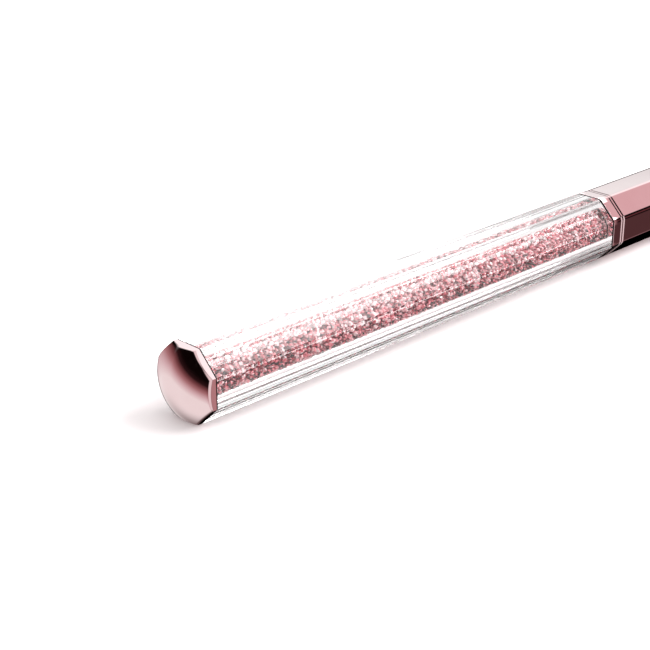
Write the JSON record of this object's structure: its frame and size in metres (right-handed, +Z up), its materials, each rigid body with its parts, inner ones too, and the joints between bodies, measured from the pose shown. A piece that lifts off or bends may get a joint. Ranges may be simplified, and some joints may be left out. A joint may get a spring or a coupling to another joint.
{
  "type": "gel pen",
  "caption": "Slim octagonal twist-action gel pen with a domed cap, a clear crystal-filled rear barrel and a plated front barrel and nose.",
  "frame": {"origin": "centre of the bounding box's base, under the middle of the pen lying on one flat of its octagon", "axes": "+X along the pen from the domed cap to the writing point, +Z up from the flat it lies on, +Y across"},
  "size_m": [0.144, 0.0092, 0.0092],
  "materials": {
    "end_cap": "polished rose-gold plating, mirror bright",
    "clear_barrel": "clear cast acrylic, polished",
    "crystal_fill": "loose faceted glass crystals, clear to rose with a few dark red ones",
    "trim_band": "polished rose-gold plating, mirror bright",
    "barrel_bush": "fluted and plated, bright",
    "twist_o_ring": "black nitrile, greased",
    "drive_sleeve": "turned and milled, satin",
    "groove_ring": "polished rose-gold plating",
    "guide_bush": "turned brass, machine finish",
    "retaining_clip": "spring steel, oiled",
    "return_spring": "bright spring wire",
    "plunger": "turned brass, machine finish",
    "cam_pin": "ground dowel",
    "refill_tube": "extruded translucent polypropylene",
    "refill_tail_plug": "moulded white plastic",
    "ink_follower": "clear straw-coloured grease",
    "gel_ink": "black gel",
    "writing_point": "turned nickel silver",
    "writing_ball": "polished tungsten carbide",
    "front_barrel": "polished rose-gold plating, mirror bright",
    "barrel_liner": "moulded white plastic",
    "nose_ring": "polished rose-gold plating",
    "nose_cone": "polished rose-gold plating, mirror bright"
  },
  "bodies": {
    "front_half": {"front_barrel": "front_barrel", "barrel_liner": "barrel_liner", "nose_ring": "nose_ring", "nose_cone": "nose_cone"},
    "mechanism": {"groove_ring": "groove_ring", "guide_bush": "guide_bush", "retaining_clip": "retaining_clip", "return_spring": "return_spring"},
    "rear_barrel": {"end_cap": "end_cap", "clear_barrel": "clear_barrel", "crystal_fill": "crystal_fill", "trim_band": "trim_band", "barrel_bush": "barrel_bush", "twist_o_ring": "twist_o_ring", "drive_sleeve": "drive_sleeve"},
    "refill": {"plunger": "plunger", "cam_pin": "cam_pin", "refill_tube": "refill_tube", "refill_tail_plug": "refill_tail_plug", "ink_follower": "ink_follower", "gel_ink": "gel_ink", "writing_point": "writing_point"},
    "ball": {"writing_ball": "writing_ball"}
  },
  "joints": [
    {"name": "front_unscrew", "type": "slide", "parent": "front_half", "child": "mechanism", "axis": [-1, 0, 0], "range_m": [0, 0.066]},
    {"name": "barrel_twist", "type": "hinge", "parent": "mechanism", "child": "rear_barrel", "pos_m": [0, 0, 0.0046], "axis": [1, 0, 0], "range_deg": [0, 180]},
    {"name": "refill_advance", "type": "slide", "parent": "mechanism", "child": "refill", "axis": [1, 0, 0], "range_m": [0, 0.0036], "deforming": ["return_spring"]},
    {"name": "ball_roll", "type": "hinge", "parent": "refill", "child": "ball", "pos_m": [0.07045, 0, 0.0046], "axis": [0, 1, 0], "continuous": true}
  ],
  "couplings": [
    {"joint": "refill_advance", "follows": "barrel_twist", "m_per_rad": 0.0011459}
  ]
}
